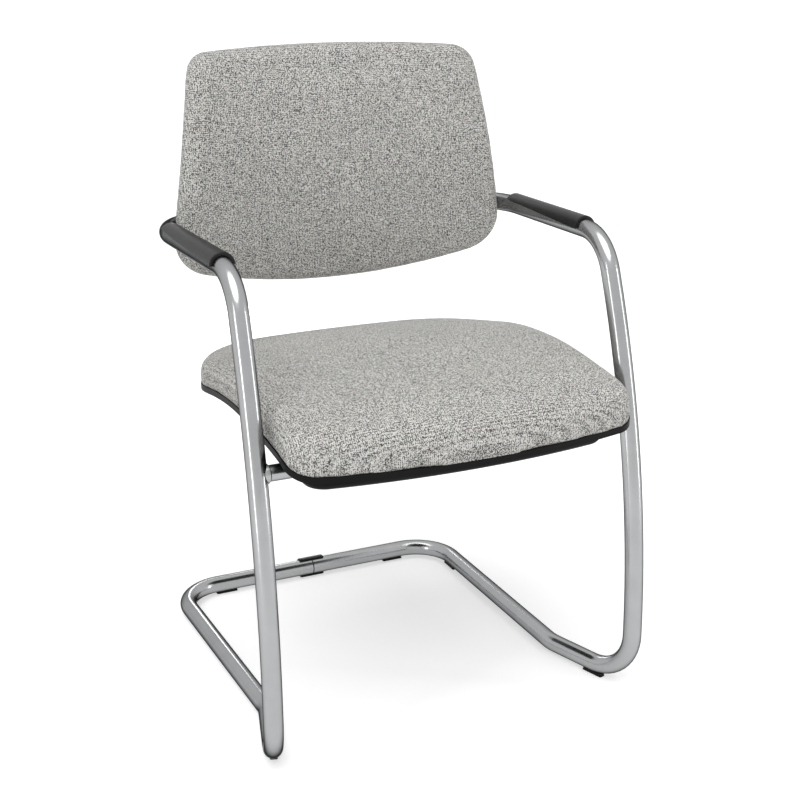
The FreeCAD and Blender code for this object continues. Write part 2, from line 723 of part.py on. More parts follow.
def cushion_top(x, y):
    middle = (SEAT_FRONT_Y + SEAT_REAR_Y) / 2
    across = min(1.0, abs(x) / SEAT_HALF_FRONT)
    along = min(1.0, abs(y - middle) / (SEAT_REAR_Y - middle))
    crown = CUSHION_CROWN * (1 - across ** 2) * (1 - along ** 2)
    rearward = max(0.0, (y - middle) / (SEAT_REAR_Y - middle))
    fall = CUSHION_FALL * (y - SEAT_FRONT_Y) / (SEAT_REAR_Y - SEAT_FRONT_Y)
    corner_fall = CUSHION_CORNER_FALL * (across * rearward) ** 2
    return Vector(x, y, rim_height(y) + CUSHION_SIDE - fall - corner_fall + crown)


def seat_cushion():
    across = [-260 + 52 * i for i in range(11)]
    along = [-335 + 36 * i for i in range(15)]
    body = surface_block(cushion_top, across, along, Vector(0, 0, -90))
    body = body.common(seat_prism(CUSHION_INSET))
    top = max(body.Faces, key=lambda f: f.CenterOfMass.z)
    body = body.makeFillet(CUSHION_EDGE_RADIUS, top.OuterWire.Edges)
    body = body.cut(seat_slab(-90, RIM_HEIGHT))
    body = body.cut(seat_layer(BOARD_INSET - 0.2, -5.0, SHELL_WALL + BOARD_THICK))
    return max(body.Solids, key=lambda s: s.Volume)


board_solid = seat_board()
tnuts = [seat_tnut(x, y) for x, y in bolt_places()]
shell_solid = seat_shell()
cushion_solid = seat_cushion()
shell_screws = [shell_screw(x, y) for x, y in shell_screw_places()]
for screw in shell_screws:
    board_solid = board_solid.cut(screw)


# Backrest surfaces
def back_depth(x, z):
    h = (z - BACK_Z) / 100.0
    return BACK_Y + BACK_SLOPE * h + BACK_CURL * h * h - BACK_BOW * (x / 100.0) ** 2


def back_layer(prism, near, far):
    """The part of a prism between two distances behind the middle surface."""
    across = [-260 + 52 * i for i in range(11)]
    up = [490 + 39 * i for i in range(11)]
    block = surface_block(
        lambda x, z: Vector(x, back_depth(x, z) + near, z), across, up, Vector(0, far - near, 0))
    return prism.common(block)


def back_half_width(z):
    h = (z - BACK_Z) / 100.0
    return BACK_HALF_WIDTH - BACK_TAPER * h - BACK_TAPER_CURVE * h * h


def back_outline(inset):
    """The backrest seen from the front, as a face in the plane y = 0, drawn in by an inset."""
    def side(z):
        return back_half_width(z) - inset

    def corner(z_at):
        z = z_at(BACK_HALF_WIDTH)
        for _ in range(20):
            z = z_at(side(z))
        return Vector(side(z), 0, z)

    top_z = BACK_TOP_Z - inset
    low_z = BACK_BOTTOM_Z + inset
    top = corner(lambda x: top_z - BACK_TOP_CURVE * (x / 100.0) ** 2)
    low = corner(lambda x: low_z + BACK_BOTTOM_CURVE * (x / 100.0) ** 2)
    middle = Vector(side((top.z + low.z) / 2), 0, (top.z + low.z) / 2)

    def other(point):
        return Vector(-point.x, point.y, point.z)

    wire = Part.Wire([
        Part.Arc(other(top), Vector(0, 0, top_z), top).toShape(),
        Part.Arc(top, middle, low).toShape(),
        Part.Arc(low, Vector(0, 0, low_z), other(low)).toShape(),
        Part.Arc(other(low), other(middle), other(top)).toShape(),
    ])
    block = Part.Face(wire).extrude(Vector(0, 10, 0))
    high_edges = [e for e in block.Edges if e.BoundBox.YLength > 9 and e.BoundBox.ZMin > BACK_Z]
    block = block.makeFillet(BACK_TOP_CORNER - inset, high_edges)
    low_edges = [
        e for e in block.Edges
        if e.BoundBox.YLength > 9 and e.BoundBox.YMin < 1 and e.BoundBox.ZMax < BACK_Z
    ]
    block = block.makeFillet(BACK_BOTTOM_CORNER - inset, low_edges)
    return [f for f in block.Faces if f.BoundBox.YMax < 0.01][0]


def back_prism(inset):
    face = back_outline(inset)
    face.translate(Vector(0, 20, 0))
    return face.extrude(Vector(0, 220, 0))


def clamp_places():
    """Screw places of the two clamps: x across and z up."""
    rows = (ARM_Z - CLAMP_SCREW_OFFSET, ARM_Z + CLAMP_SCREW_OFFSET)
    return [(x, z) for x in (-CLAMP_X, CLAMP_X) for z in rows]


def back_screw_places():
    return [(-150.0, 800.0), (150.0, 800.0), (-165.0, 690.0), (165.0, 690.0), (-150.0, 575.0), (150.0, 575.0)]


REAR_FACE = BACK_THICK / 2
SHELL_FRONT = REAR_FACE + BACK_SHELL_PROUD - BACK_SHELL_THICK
BOARD_FRONT = SHELL_FRONT - BACK_BOARD_THICK


def back_cushion():
    body = back_layer(back_prism(0.0), -REAR_FACE, REAR_FACE)
    front = min(body.Faces, key=lambda f: f.CenterOfMass.y)
    body = body.makeFillet(BACK_EDGE_RADIUS, front.OuterWire.Edges)
    rear = [f for f in body.Faces if f.Area > 60000]
    rear = max(rear, key=lambda f: f.CenterOfMass.y)
    body = body.makeFillet(BACK_REAR_EDGE_RADIUS, rear.OuterWire.Edges)
    pocket = back_layer(back_prism(BACK_SHELL_INSET - 0.3), SHELL_FRONT, REAR_FACE + 10)
    room = back_layer(back_prism(BACK_BOARD_INSET - 0.3), BOARD_FRONT, REAR_FACE + 10)
    return body.cut(pocket).cut(room)


def behind_back(x, z, near, far, radius):
    """A pin straight through the backrest, between two distances behind its middle surface."""
    y = back_depth(x, z)
    return cylinder(radius, Vector(x, y + near, z), Vector(x, y + far, z))


def back_board():
    board = back_layer(back_prism(BACK_BOARD_INSET), BOARD_FRONT, SHELL_FRONT)
    for x, z in clamp_places():
        board = board.cut(behind_back(x, z, BOARD_FRONT - 10, SHELL_FRONT + 10, TNUT_D / 2))
        board = board.cut(behind_back(x, z, BOARD_FRONT - 10, BOARD_FRONT + 2.0, TNUT_FLANGE_D / 2))
    for x, z in back_screw_places():
        board = board.cut(behind_back(x, z, BOARD_FRONT + 2, SHELL_FRONT + 10, 1.7))
    return board


def back_tnut(x, z):
    flange = behind_back(x, z, BOARD_FRONT + 0.8, BOARD_FRONT + 2.0, TNUT_FLANGE_D / 2)
    barrel = behind_back(x, z, BOARD_FRONT + 0.8, BOARD_FRONT + 9.0, TNUT_D / 2)
    return flange.fuse(barrel).cut(behind_back(x, z, 0, 40, BOLT_D / 2))


def back_shell():
    shell = back_layer(back_prism(BACK_SHELL_INSET), SHELL_FRONT, REAR_FACE + BACK_SHELL_PROUD)
    rear = max(shell.Faces, key=lambda f: f.CenterOfMass.y if f.Area > 60000 else -999)
    shell = shell.makeFillet(BACK_SHELL_EDGE_RADIUS, rear.OuterWire.Edges)
    for x, z in clamp_places():
        shell = shell.cut(behind_back(x, z, 0, 60, BOLT_D / 2 + 0.2))
    for x, z in back_screw_places():
        shell = shell.cut(behind_back(x, z, 0, 60, 1.8))
        shell = shell.cut(behind_back(x, z, REAR_FACE - 1.2, 60, BACK_SCREW_HEAD_D / 2 + 0.3))
    return shell


def back_shell_screw(x, z):
    head = behind_back(x, z, REAR_FACE - 1.2, REAR_FACE + 0.6, BACK_SCREW_HEAD_D / 2)
    last = [e for e in head.Edges if e.CenterOfMass.y > back_depth(x, z) + REAR_FACE + 0.5]
    head = head.makeFillet(0.8, last)
    shank = behind_back(x, z, SHELL_FRONT - 7.5, REAR_FACE - 1.2, 1.7)
    drive = behind_back(x, z, REAR_FACE - 0.4, REAR_FACE + 1, 1.2)
    return head.fuse(shank).cut(drive)


def crossbar_y(x):
    return CROSSBAR_Y - CROSSBAR_RADIUS + math.sqrt(CROSSBAR_RADIUS ** 2 - x ** 2)


def clamp_block():
    """Both halves of the right-hand clamp, before the tube is cut out of them."""
    y = crossbar_y(CLAMP_X)
    outer = TUBE_D / 2 + CLAMP_WALL
    block = Part.makeBox(
        CLAMP_LENGTH, 40, CLAMP_HEIGHT,
        Vector(CLAMP_X - CLAMP_LENGTH / 2, y - 26, ARM_Z - CLAMP_HEIGHT / 2),
    )
    hump = cylinder(outer, Vector(CLAMP_X - CLAMP_LENGTH / 2, y, ARM_Z), Vector(CLAMP_X + CLAMP_LENGTH / 2, y, ARM_Z))
    return block, hump


def clamp_saddle():
    """The front half: from the outer shell to the middle of the tube."""
    block, hump = clamp_block()
    y = crossbar_y(CLAMP_X)
    block = block.makeFillet(3.0, [e for e in block.Edges if e.BoundBox.YLength > 30])
    keep = Part.makeBox(200, 100, 200, Vector(CLAMP_X - 100, y + CLAMP_SPLIT - 100, ARM_Z - 100))
    saddle = block.common(keep)
    saddle = saddle.cut(back_layer(back_prism(0.0), 0.0, REAR_FACE + BACK_SHELL_PROUD))
    saddle = saddle.cut(outer_tube)
    for x, z in clamp_places():
        saddle = saddle.cut(behind_back(x, z, 0, 80, BOLT_D / 2 + 0.2))
    return max(saddle.Solids, key=lambda s: s.Volume)


def clamp_cap():
    """The rear half, which is drawn against the saddle by two screws."""
    block, hump = clamp_block()
    y = crossbar_y(CLAMP_X)
    flange = Part.makeBox(
        CLAMP_LENGTH, CLAMP_CAP_FLANGE, CLAMP_HEIGHT,
        Vector(CLAMP_X - CLAMP_LENGTH / 2, y + CLAMP_SPLIT, ARM_Z - CLAMP_HEIGHT / 2),
    )
    flange = flange.makeFillet(3.0, [e for e in flange.Edges if e.BoundBox.YLength > 5])
    behind = Part.makeBox(200, 100, 200, Vector(CLAMP_X - 100, y + CLAMP_SPLIT, ARM_Z - 100))
    cap = flange.fuse(hump.common(behind)).removeSplitter()
    cap = cap.cut(outer_tube)
    for x, z in clamp_places():
        cap = cap.cut(behind_back(x, z, 0, 80, BOLT_D / 2 + 0.2))
    return max(cap.Solids, key=lambda s: s.Volume)


def clamp_screw(x, z):
    """A button head screw through cap, saddle and shell into a T-nut."""
    y = crossbar_y(abs(x)) + CLAMP_SPLIT + CLAMP_CAP_FLANGE
    head = cylinder(BOLT_HEAD_D / 2, Vector(x, y, z), Vector(x, y + BOLT_HEAD_H, z))
    head = head.makeFillet(2.4, [e for e in head.Edges if e.CenterOfMass.y > y + 1])
    shank = cylinder(BOLT_D / 2, Vector(x, back_depth(x, z) + BOARD_FRONT + 2.0, z), Vector(x, y, z))
    socket = hex_socket(0, 0, 0, 4.0, 2.0)
    socket.rotate(Vector(0, 0, 0), X_AXIS, 90)
    socket.translate(Vector(x, y + BOLT_HEAD_H + 0.01, z))
    return head.fuse(shank).cut(socket)


def joint_clip(foot):
    """A plastic saddle behind a butt joint, with a web in the gap between the tube ends."""
    half = CLIP_LENGTH / 2
    outer = cylinder(TUBE_D / 2 + CLIP_WALL, Vector(-half, 0, 0), Vector(half, 0, 0))
    ends = [e for e in outer.Edges if e.Curve.TypeId == "Part::GeomCircle"]
    outer = outer.makeFillet(1.2, ends)
    inner = cylinder(TUBE_D / 2, Vector(-half - 1, 0, 0), Vector(half + 1, 0, 0))
    clip = outer
    if foot:
        base = Part.makeBox(CLIP_LENGTH, CLIP_FOOT_WIDTH, FLOOR_Z, Vector(-half, -CLIP_FOOT_WIDTH / 2 + 1, -FLOOR_Z))
        base = base.makeChamfer(1.5, [e for e in base.Edges if e.BoundBox.ZMax < -FLOOR_Z + 0.1])
        clip = clip.fuse(base)
    clip = clip.cut(inner)
    ahead = Part.makeBox(CLIP_LENGTH + 4, 40, 80, Vector(-half - 2, -40 - CLIP_FRONT, -40 + FLOOR_Z))
    clip = clip.cut(ahead)
    web = cylinder(TUBE_D / 2 + 0.1, Vector(-JOINT_GAP / 2, 0, 0), Vector(JOINT_GAP / 2, 0, 0))
    web = web.cut(cylinder(TUBE_D / 2 - TUBE_WALL, Vector(-2, 0, 0), Vector(2, 0, 0)))
    return clip.fuse(web).removeSplitter()


def spigot(arc_or_line):
    tube = pipe([arc_or_line], TUBE_D / 2 - TUBE_WALL - 0.02)
    return tube.cut(pipe([arc_or_line], TUBE_D / 2 - 2 * TUBE_WALL))


# Write every piece
for centre, direction, inset in glide_places.values():
    frame_right = frame_right.cut(glide_peg(centre))
for y in PAD_PEG_Y:
    frame_right = frame_right.cut(cylinder(PEG_D / 2, arm_point(y), arm_point(y) + Vector(0, 0, TUBE_D)))
export("frame_right", frame_right)
export("frame_left", mirrored(frame_right))

half_spigot = SPIGOT_LENGTH / 2
floor_line = line(Vector(-half_spigot, REAR_Y, FLOOR_Z), Vector(half_spigot, REAR_Y, FLOOR_Z))
export("floor_joint_spigot", spigot(floor_line))
export("crossbar_joint_spigot", spigot(crossbar_arc(-half_spigot, half_spigot)))
floor_clip = joint_clip(True)
floor_clip.translate(Vector(0, REAR_Y, FLOOR_Z))
export("floor_joint_clip", floor_clip)
bar_clip = joint_clip(False)
bar_clip.translate(Vector(0, CROSSBAR_Y, ARM_Z))
bar_clip = bar_clip.cut(outer_tube).cut(mirrored(outer_tube))
export("crossbar_joint_clip", max(bar_clip.Solids, key=lambda s: s.Volume))

for name, place in glide_places.items():
    foot = glide(*place)
    export(name + "_right", foot)
    export(name + "_left", mirrored(foot))

export("armrest_pad_right", armrest_pad(*PAD_RIGHT_Y))
export("armrest_pad_left", mirrored(armrest_pad(*PAD_LEFT_Y)))

export("seat_cross_tube", cross)
export("cross_tube_welds", Part.makeCompound([weld_right, mirrored(weld_right)]))
for name, shape in rails.items():
    export(name, shape)
export("seat_rear_member", rear_member())
export("rear_member_plugs", Part.makeCompound([member_plug(-1), member_plug(1)]))
export("seat_spacers", Part.makeCompound([seat_spacer(x, y) for x, y in bolt_places()]))
export("seat_bolts", Part.makeCompound([seat_bolt(x, y) for x, y in bolt_places()]))
export("seat_tnuts", Part.makeCompound(tnuts))
export("seat_board", board_solid)
export("seat_shell", shell_solid)
export("cross_tube_cover", front_cover())
export("seat_shell_screws", Part.makeCompound(shell_screws))
export("seat_cushion", cushion_solid)

export("back_cushion", back_cushion())
export("back_board", back_board())
export("back_tnuts", Part.makeCompound([back_tnut(x, z) for x, z in clamp_places()]))
export("back_outer_shell", back_shell())
export("back_shell_screws", Part.makeCompound([back_shell_screw(x, z) for x, z in back_screw_places()]))
saddle_right = clamp_saddle()
cap_right = clamp_cap()
export("back_saddle_right", saddle_right)
export("back_saddle_left", mirrored(saddle_right))
export("back_clamp_cap_right", cap_right)
export("back_clamp_cap_left", mirrored(cap_right))
export("back_clamp_screws", Part.makeCompound([clamp_screw(x, z) for x, z in clamp_places()]))
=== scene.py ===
import math

import bpy
import numpy as np
from bpy.props import FloatProperty, FloatVectorProperty, IntProperty, PointerProperty
from mathutils import Matrix, Vector


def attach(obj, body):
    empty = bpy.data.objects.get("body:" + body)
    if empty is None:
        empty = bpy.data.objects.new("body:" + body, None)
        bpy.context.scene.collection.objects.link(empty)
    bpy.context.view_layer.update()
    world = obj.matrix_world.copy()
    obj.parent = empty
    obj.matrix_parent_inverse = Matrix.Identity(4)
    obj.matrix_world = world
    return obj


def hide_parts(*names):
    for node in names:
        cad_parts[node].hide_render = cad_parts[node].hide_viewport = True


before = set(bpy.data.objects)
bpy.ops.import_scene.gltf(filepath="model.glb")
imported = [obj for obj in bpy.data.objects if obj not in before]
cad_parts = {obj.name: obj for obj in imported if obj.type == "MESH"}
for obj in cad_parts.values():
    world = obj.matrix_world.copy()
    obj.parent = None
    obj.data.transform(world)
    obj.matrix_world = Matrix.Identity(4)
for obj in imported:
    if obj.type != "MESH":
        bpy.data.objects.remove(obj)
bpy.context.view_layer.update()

bl_info = {
    "name": "Sled base visitor chair",
    "version": (1, 0, 0),
    "blender": (4, 5, 0),
    "location": "3D View > Sidebar > Visitor chair",
    "description": "Dresses the chair's construction: upholstery, tube finish, plastic parts and stage",
    "category": "Object",
}

# Lengths are in metres. The chair faces -Y and stands on z = 0.
BODY = "root"
DEPTH_SHIFT = 0.0118         # the seat and backrest forms below are laid out this far ahead

# Plan of the seat and height of its rim
SEAT_FRONT = -0.3035
SEAT_FRONT_FALL = 0.018
SEAT_REAR = 0.164
SEAT_REAR_FALL = 0.001
SEAT_HALF_FRONT = 0.2344
SEAT_HALF_REAR = 0.2344
SEAT_FRONT_CORNER = 0.033
SEAT_REAR_CORNER = 0.130
RIM_DEPTHS = (-0.34, -0.30, -0.26, -0.20, -0.12, -0.02, 0.08, 0.16, 0.21)
RIM_HEIGHTS = (0.3685, 0.3859, 0.4010, 0.4113, 0.4199, 0.4179, 0.4044, 0.3989, 0.3970)
RIM_STRIP = 0.0077

# Backrest: its middle surface, its outline and its thickness
BACK_MIDDLE_Z = 0.6842
BACK_MIDDLE_Y = 0.13594
BACK_SLOPE = 0.0208
BACK_CURL = 0.714
BACK_BOW = 0.463
BACK_HALF_WIDTH = 0.23036
BACK_TAPER = 0.1489
BACK_TAPER_CURVE = 0.096
BACK_TOP = 0.84692
BACK_TOP_FALL = 0.184
BACK_BOTTOM = 0.52143
BACK_BOTTOM_RISE = 0.651
BACK_TOP_CORNER = 0.030
BACK_BOTTOM_CORNER = 0.054
BACK_THICKNESS = 0.045

# Fineness of the forms
STEP = 0.004                 # spacing of points round an outline
SIDE_POINTS = 500            # points along a side before an outline is evened out
CORNER_POINTS = 40
CORNER_STEPS = 20            # turns of the search for a backrest corner
WALL_RINGS = 6
EDGE_RINGS = 9
FACE_RINGS = 24
SKIN_PASSES = 6              # turns of smoothing after the faces are made even

# The covers: their lower edge, their side and their grip while they swell
COVER_TUCK = 0.004           # how far the seat cover reaches down behind the rim's strip
SIDE_BULGE = 0.0012
SEAT_GRIP_EDGE = 0.004       # height above the strip up to which the seat cover is held
SEAT_GRIP_FADE = 0.016       # further height over which the grip fades
BACK_GRIP_EDGE = 0.004       # depth behind the middle surface where the backrest's grip starts
BACK_GRIP_FADE = 0.012
CLOTH_STRETCH = 25
CLOTH_BEND = 2


# Outlines and forms
def inward_normals(points, closed):
    """Unit normals that point to the left of a counter-clockwise line."""
    if closed:
        along = np.roll(points, -1, 0) - np.roll(points, 1, 0)
    else:
        along = np.gradient(points, axis=0)
    normals = np.column_stack([-along[:, 1], along[:, 0]])
    return normals / np.linalg.norm(normals, axis=1)[:, None]


def rounded_outline(sides, radii):
    """Joins sides given counter-clockwise, with a round corner after each, as evenly spaced points."""
    starts = [0] * len(sides)
    ends = [len(side) for side in sides]
    arcs = []
    for i, radius in enumerate(radii):
        j = (i + 1) % len(sides)
        ahead = sides[i] + inward_normals(sides[i], False) * radius
        behind = sides[j] + inward_normals(sides[j], False) * radius
        gaps = np.linalg.norm(ahead[:, None] - behind[None], axis=2)
        a, b = np.unravel_index(np.argmin(gaps), gaps.shape)
        centre = (ahead[a] + behind[b]) / 2
        ends[i] = a
        starts[j] = b
        first = sides[i][a] - centre
        last = sides[j][b] - centre
        start_angle = math.atan2(first[1], first[0])
        turn = (math.atan2(last[1], last[0]) - start_angle) % (2 * math.pi)
        angles = start_angle + turn * np.linspace(0, 1, CORNER_POINTS)[1:-1]
        arcs.append(centre + radius * np.column_stack([np.cos(angles), np.sin(angles)]))
    line = []
    for i, side in enumerate(sides):
        line.append(side[starts[i]:ends[i] + 1])
        line.append(arcs[i])
    line = np.concatenate(line)
    loop = np.vstack([line, line[:1]])
    lengths = np.concatenate([[0], np.cumsum(np.linalg.norm(np.diff(loop, axis=0), axis=1))])
    count = int(lengths[-1] / STEP)
    places = np.linspace(0, lengths[-1], count, endpoint=False)
    return np.column_stack([np.interp(places, lengths, loop[:, k]) for k in (0, 1)])


def seat_plan():
    """The seat seen from above, as a closed line."""
    across = np.linspace(-1, 1, SIDE_POINTS)
    along = np.linspace(0, 1, SIDE_POINTS)[:, None]
    front = np.column_stack([
        across * SEAT_HALF_FRONT,
        SEAT_FRONT + SEAT_FRONT_FALL * across ** 2,
    ])
    rear = np.column_stack([
        -across * SEAT_HALF_REAR,
        SEAT_REAR - SEAT_REAR_FALL * across ** 2,
    ])
    right = front[-1] + (rear[0] - front[-1]) * along
    left = rear[-1] + (front[0] - rear[-1]) * along
    radii = (SEAT_FRONT_CORNER, SEAT_REAR_CORNER, SEAT_REAR_CORNER, SEAT_FRONT_CORNER)
    return rounded_outline([front, right, rear, left], radii)


def rim_height(y):
    """The lower edge of the seat's rim at a depth: a smooth curve through the named heights."""
    depths = np.array(RIM_DEPTHS)
    heights = np.array(RIM_HEIGHTS)
    slopes = np.gradient(heights, depths)
    i = np.clip(np.searchsorted(depths, y) - 1, 0, len(depths) - 2)
    span = depths[i + 1] - depths[i]
    t = (y - depths[i]) / span
    return (
        heights[i] * (1 + 2 * t) * (1 - t) ** 2
        + slopes[i] * span * t * (1 - t) ** 2
        + heights[i + 1] * t * t * (3 - 2 * t)
        + slopes[i + 1] * span * t * t * (t - 1)
    )


def back_half_width(z):
    h = z - BACK_MIDDLE_Z
    return BACK_HALF_WIDTH - BACK_TAPER * h - BACK_TAPER_CURVE * h * h


def back_middle(x, z):
    """Depth of the backrest's middle surface."""
    h = z - BACK_MIDDLE_Z
    return BACK_MIDDLE_Y + BACK_SLOPE * h + BACK_CURL * h * h - BACK_BOW * x * x


def back_front_view():
    """The backrest seen from the front, as a closed line of x and z."""
    def corner(z, edge):
        for _ in range(CORNER_STEPS):
            z = edge(back_half_width(z))
        return z

    top_z = corner(BACK_TOP, lambda x: BACK_TOP - BACK_TOP_FALL * x * x)
    low_z = corner(BACK_BOTTOM, lambda x: BACK_BOTTOM + BACK_BOTTOM_RISE * x * x)
    low_x = np.linspace(-1, 1, SIDE_POINTS) * back_half_width(low_z)
    top_x = np.linspace(1, -1, SIDE_POINTS) * back_half_width(top_z)
    rise = np.linspace(low_z, top_z, SIDE_POINTS)
    bottom = np.column_stack([low_x, BACK_BOTTOM + BACK_BOTTOM_RISE * low_x ** 2])
    top = np.column_stack([top_x, BACK_TOP - BACK_TOP_FALL * top_x ** 2])
    right = np.column_stack([back_half_width(rise), rise])
    left = np.column_stack([-back_half_width(rise[::-1]), rise[::-1]])
    radii = (BACK_BOTTOM_CORNER, BACK_TOP_CORNER, BACK_TOP_CORNER, BACK_BOTTOM_CORNER)
    return rounded_outline([bottom, right, top, left], radii)


def closed_form(name, rings, first_centre, last_centre):
    """A mesh of rings of equal length, closed by a fan at both ends."""
    count = len(rings[0])
    points = np.vstack(rings + [first_centre, last_centre])
    faces = []
    for row in range(len(rings) - 1):
        low = row * count
        high = low + count
        for k in range(count):
            after = (k + 1) % count
            faces.append((low + k, low + after, high + after, high + k))
    first = len(rings) * count
    last_row = (len(rings) - 1) * count
    for k in range(count):
        after = (k + 1) % count
        faces.append((first, after, k))
        faces.append((first + 1, last_row + k, last_row + after))
    mesh = bpy.data.meshes.new(name)
    mesh.from_pydata([tuple(p) for p in points], [], faces)
    piece = bpy.data.objects.new(name, mesh)
    bpy.context.scene.collection.objects.link(piece)
    return piece


def apply_modifiers(piece):
    graph = bpy.context.evaluated_depsgraph_get()
    graph.update()
    mesh = bpy.data.meshes.new_from_object(piece.evaluated_get(graph))
    piece.modifiers.clear()
    old = piece.data
    piece.data = mesh
    bpy.data.meshes.remove(old)


def even_skin(piece, voxel):
    """Remeshes a closed form into small even faces and takes the steps out of it."""
    remesh = piece.modifiers.new("even faces", "REMESH")
    remesh.mode = "VOXEL"
    remesh.voxel_size = voxel
    smooth = piece.modifiers.new("relax", "SMOOTH")
    smooth.factor = 0.5
    smooth.iterations = SKIN_PASSES
    apply_modifiers(piece)


def vectors(mesh, name):
    """The places ("co") or the normals ("normal") of a mesh's points, one row each."""
    values = np.empty(len(mesh.vertices) * 3)
    mesh.vertices.foreach_get(name, values)
    return values.reshape(-1, 3)


def swell(piece, weights, skin):
    """Blows the cover up with cloth, outward only; weights gives each point's grip, from 0 to 1."""
    start = vectors(piece.data, "co")
    outward = vectors(piece.data, "normal")
    grip = piece.vertex_groups.new(name="held")
    for level in range(1, 11):
        chosen = np.nonzero(np.round(weights * 10) == level)[0]
        grip.add([int(i) for i in chosen], level / 10, "REPLACE")
    cloth = piece.modifiers.new("swell", "CLOTH")
    settings = cloth.settings
    settings.vertex_group_mass = grip.name
    settings.use_pressure = True
    settings.uniform_pressure_force = skin.pressure
    settings.tension_stiffness = CLOTH_STRETCH
    settings.compression_stiffness = CLOTH_STRETCH
    settings.bending_stiffness = CLOTH_BEND
    settings.effector_weights.gravity = 0
    cloth.point_cache.frame_start = 1
    cloth.point_cache.frame_end = skin.frames
    scene = bpy.context.scene
    for number in range(1, skin.frames + 1):
        scene.frame_set(number)
    graph = bpy.context.evaluated_depsgraph_get()
    shift = vectors(piece.evaluated_get(graph).to_mesh(), "co") - start
    shift -= outward * np.minimum(0, np.sum(shift * outward, axis=1))[:, None]
    reach = np.linalg.norm(shift, axis=1)[:, None]
    shift *= np.minimum(1, skin.limit / np.maximum(reach, 1e-9))
    piece.modifiers.clear()
    piece.vertex_groups.clear()
    piece.data.vertices.foreach_set("co", (start + shift).ravel())
    piece.data.update()
    scene.frame_set(1)


def upholster(piece, material, node):
    """Divides a cover once more, gives it its cloth and ties it to the solid that it stands for."""
    divide = piece.modifiers.new("divide", "SUBSURF")
    divide.levels = 1
    divide.render_levels = 1
    apply_modifiers(piece)
    piece.data.polygons.foreach_set("use_smooth", [True] * len(piece.data.polygons))
    piece.data.update()
    piece.data.materials.clear()
    piece.data.materials.append(material)
    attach(piece, BODY)
    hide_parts(node)


# Finishes
SOCKETS = {
    "metallic": "Metallic",
    "specular": "Specular IOR Level",
    # the edge tint paints shade on the tube's edges
    "edge": "Specular Tint",
    "sheen": "Sheen Weight",
    "sheen_roughness": "Sheen Roughness",
}


class Finish:
    """A material under construction; nodes are added and linked by name."""

    def __init__(self, name):
        self.material = bpy.data.materials.new(name)
        self.material.use_nodes = True
        self.tree = self.material.node_tree
        self.shader = self.tree.nodes["Principled BSDF"]
        self.place = self.tree.nodes.new("ShaderNodeTexCoord").outputs["Object"]

    def set(self, **values):
        for key, value in values.items():
            self.shader.inputs[SOCKETS[key]].default_value = value

    def noise(self, scale, detail=2.0, roughness=0.5, distortion=0.0, stretch=None):
        node = self.tree.nodes.new("ShaderNodeTexNoise")
        node.inputs["Scale"].default_value = scale
        node.inputs["Detail"].default_value = detail
        node.inputs["Roughness"].default_value = roughness
        node.inputs["Distortion"].default_value = distortion
        source = self.place
        if stretch:
            mapping = self.tree.nodes.new("ShaderNodeMapping")
            mapping.inputs["Scale"].default_value = stretch
            self.tree.links.new(source, mapping.inputs["Vector"])
            source = mapping.outputs["Vector"]
        self.tree.links.new(source, node.inputs["Vector"])
        return node.outputs["Fac"]

    def waves(self, direction, scale, distortion):
        node = self.tree.nodes.new("ShaderNodeTexWave")
        node.bands_direction = direction
        node.inputs["Scale"].default_value = scale
        node.inputs["Distortion"].default_value = distortion
        node.inputs["Detail"].default_value = 1.0
        node.inputs["Detail Scale"].default_value = 3.0
        self.tree.links.new(self.place, node.inputs["Vector"])
        return node.outputs["Fac"]

    def ramp(self, source, stops):
        node = self.tree.nodes.new("ShaderNodeValToRGB")
        elements = node.color_ramp.elements
        while len(elements) < len(stops):
            elements.new(0.5)
        for element, (position, colour) in zip(elements, stops):
            element.position = position
            element.color = (*colour, 1.0)
        self.tree.links.new(source, node.inputs["Fac"])
        return node.outputs["Color"]

    def math(self, operation, a, b):
        node = self.tree.nodes.new("ShaderNodeMath")
        node.operation = operation
        for socket, value in zip(node.inputs, (a, b)):
            if isinstance(value, (int, float)):
                socket.default_value = value
            else:
                self.tree.links.new(value, socket)
        return node.outputs["Value"]

    def blend(self, kind, amount, a, b):
        node = self.tree.nodes.new("ShaderNodeMix")
        node.data_type = "RGBA"
        node.blend_type = kind
        node.inputs["Factor"].default_value = amount
        self.tree.links.new(a, node.inputs["A"])
        self.tree.links.new(b, node.inputs["B"])
        return node.outputs["Result"]

    def between(self, source, low, high):
        node = self.tree.nodes.new("ShaderNodeMapRange")
        node.inputs["To Min"].default_value = low
        node.inputs["To Max"].default_value = high
        self.tree.links.new(source, node.inputs["Value"])
        return node.outputs["Result"]

    def bump(self, source, strength, distance):
        node = self.tree.nodes.new("ShaderNodeBump")
        node.inputs["Strength"].default_value = strength
        node.inputs["Distance"].default_value = distance
        self.tree.links.new(source, node.inputs["Height"])
        self.link(node.outputs["Normal"], "Normal")

    def link(self, source, name):
        self.tree.links.new(source, self.shader.inputs[name])


def shade(colour, factor):
    return tuple(min(1.0, c * factor) for c in colour)


